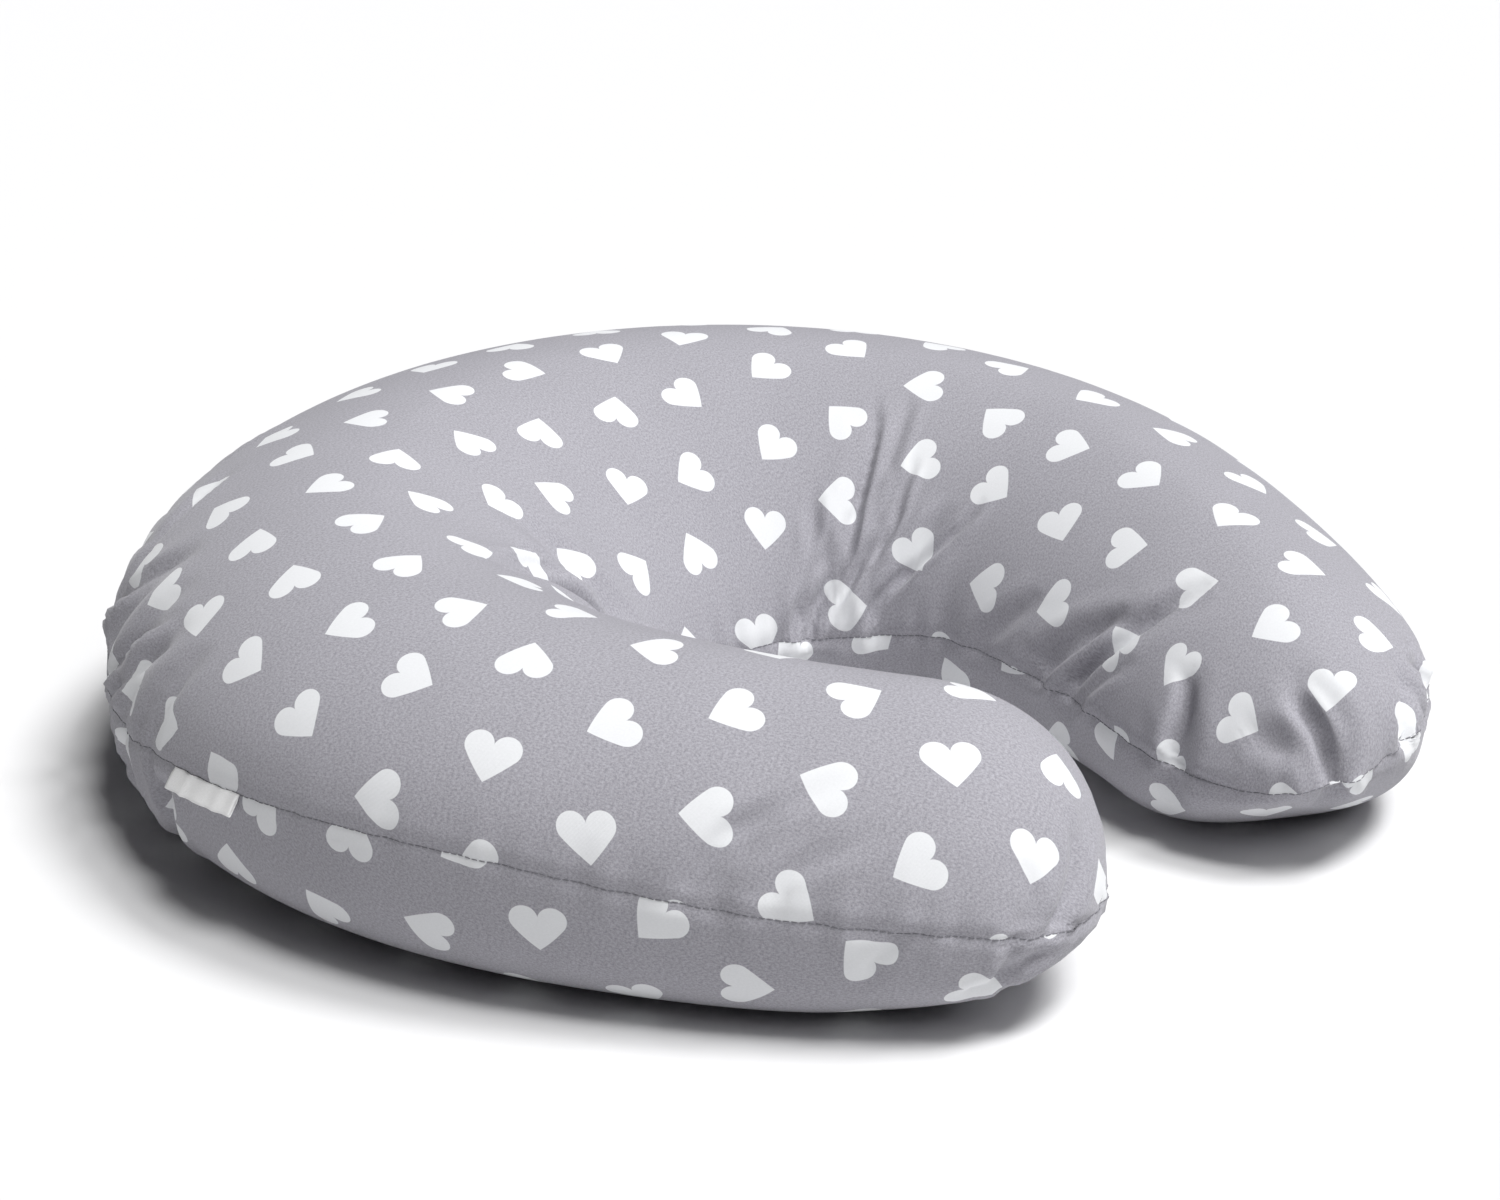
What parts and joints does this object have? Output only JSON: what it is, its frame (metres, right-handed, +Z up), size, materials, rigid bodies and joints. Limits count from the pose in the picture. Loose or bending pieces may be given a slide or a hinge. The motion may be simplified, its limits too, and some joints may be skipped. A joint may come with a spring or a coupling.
{
  "type": "nursing pillow",
  "caption": "C-shaped stuffed nursing pillow lying flat, in a heart-print cotton cover that zips off an inner cushion; its two arms flex apart around a waist.",
  "frame": {"origin": "middle of the pillow's bounding box, on the surface that it lies on", "axes": "+Z up through the pillow's thickness, -Y out of the waist opening between the two arm tips, +X to the right arm, which carries the zip"},
  "size_m": [0.6054, 0.6178, 0.1586],
  "materials": {
    "cover_fabric": "plain-weave cotton, cool grey with scattered white hearts",
    "cover_thread": "dark grey sewing thread",
    "label_ribbon": "white woven ribbon, blank",
    "zip_tape": "grey herringbone tape",
    "zip_coil": "grey nylon coil",
    "zip_metal": "satin nickel",
    "casing_fabric": "undyed fine cotton",
    "casing_thread": "white sewing thread",
    "filling_fibre": "white polyester fibre fill"
  },
  "bodies": {
    "left_half": {"cover_top_panel_left": "cover_fabric", "cover_bottom_panel_left": "cover_fabric", "cover_seam_thread_left": "cover_thread", "side_label": "label_ribbon", "casing_top_panel_left": "casing_fabric", "casing_bottom_panel_left": "casing_fabric", "casing_closing_thread": "casing_thread", "filling_left": "filling_fibre"},
    "right_half": {"cover_top_panel_right": "cover_fabric", "cover_bottom_panel_right": "cover_fabric", "cover_seam_thread_right": "cover_thread", "cover_seam_thread_back": "cover_thread", "care_label": "label_ribbon", "casing_top_panel_right": "casing_fabric", "casing_bottom_panel_right": "casing_fabric", "filling_right": "filling_fibre", "zip_tape_upper": "zip_tape", "zip_tape_lower": "zip_tape", "zip_coil_upper": "zip_coil", "zip_coil_lower": "zip_coil", "zip_top_stop_upper": "zip_metal", "zip_top_stop_lower": "zip_metal", "zip_bottom_stop": "zip_metal"},
    "slider": {"zip_slider": "zip_metal"},
    "pull": {"zip_pull_tab": "zip_metal"}
  },
  "joints": [
    {"name": "arms_spread", "type": "hinge", "parent": "left_half", "child": "right_half", "pos_m": [-0.00003, 0.31075, 0.07], "axis": [0, 0, 1], "range_deg": [0, 12], "stiffness_Nm_per_rad": 15},
    {"name": "zip_slide", "type": "hinge", "parent": "right_half", "child": "slider", "pos_m": [-0.00003, 0.00575, 0.06915], "axis": [0, 0, -1], "range_deg": [0, 48.5]},
    {"name": "pull_tab_flip", "type": "hinge", "parent": "slider", "child": "pull", "pos_m": [0.08898, 0.29689, 0.06915], "axis": [0, 0, 1], "range_deg": [0, 180]}
  ]
}
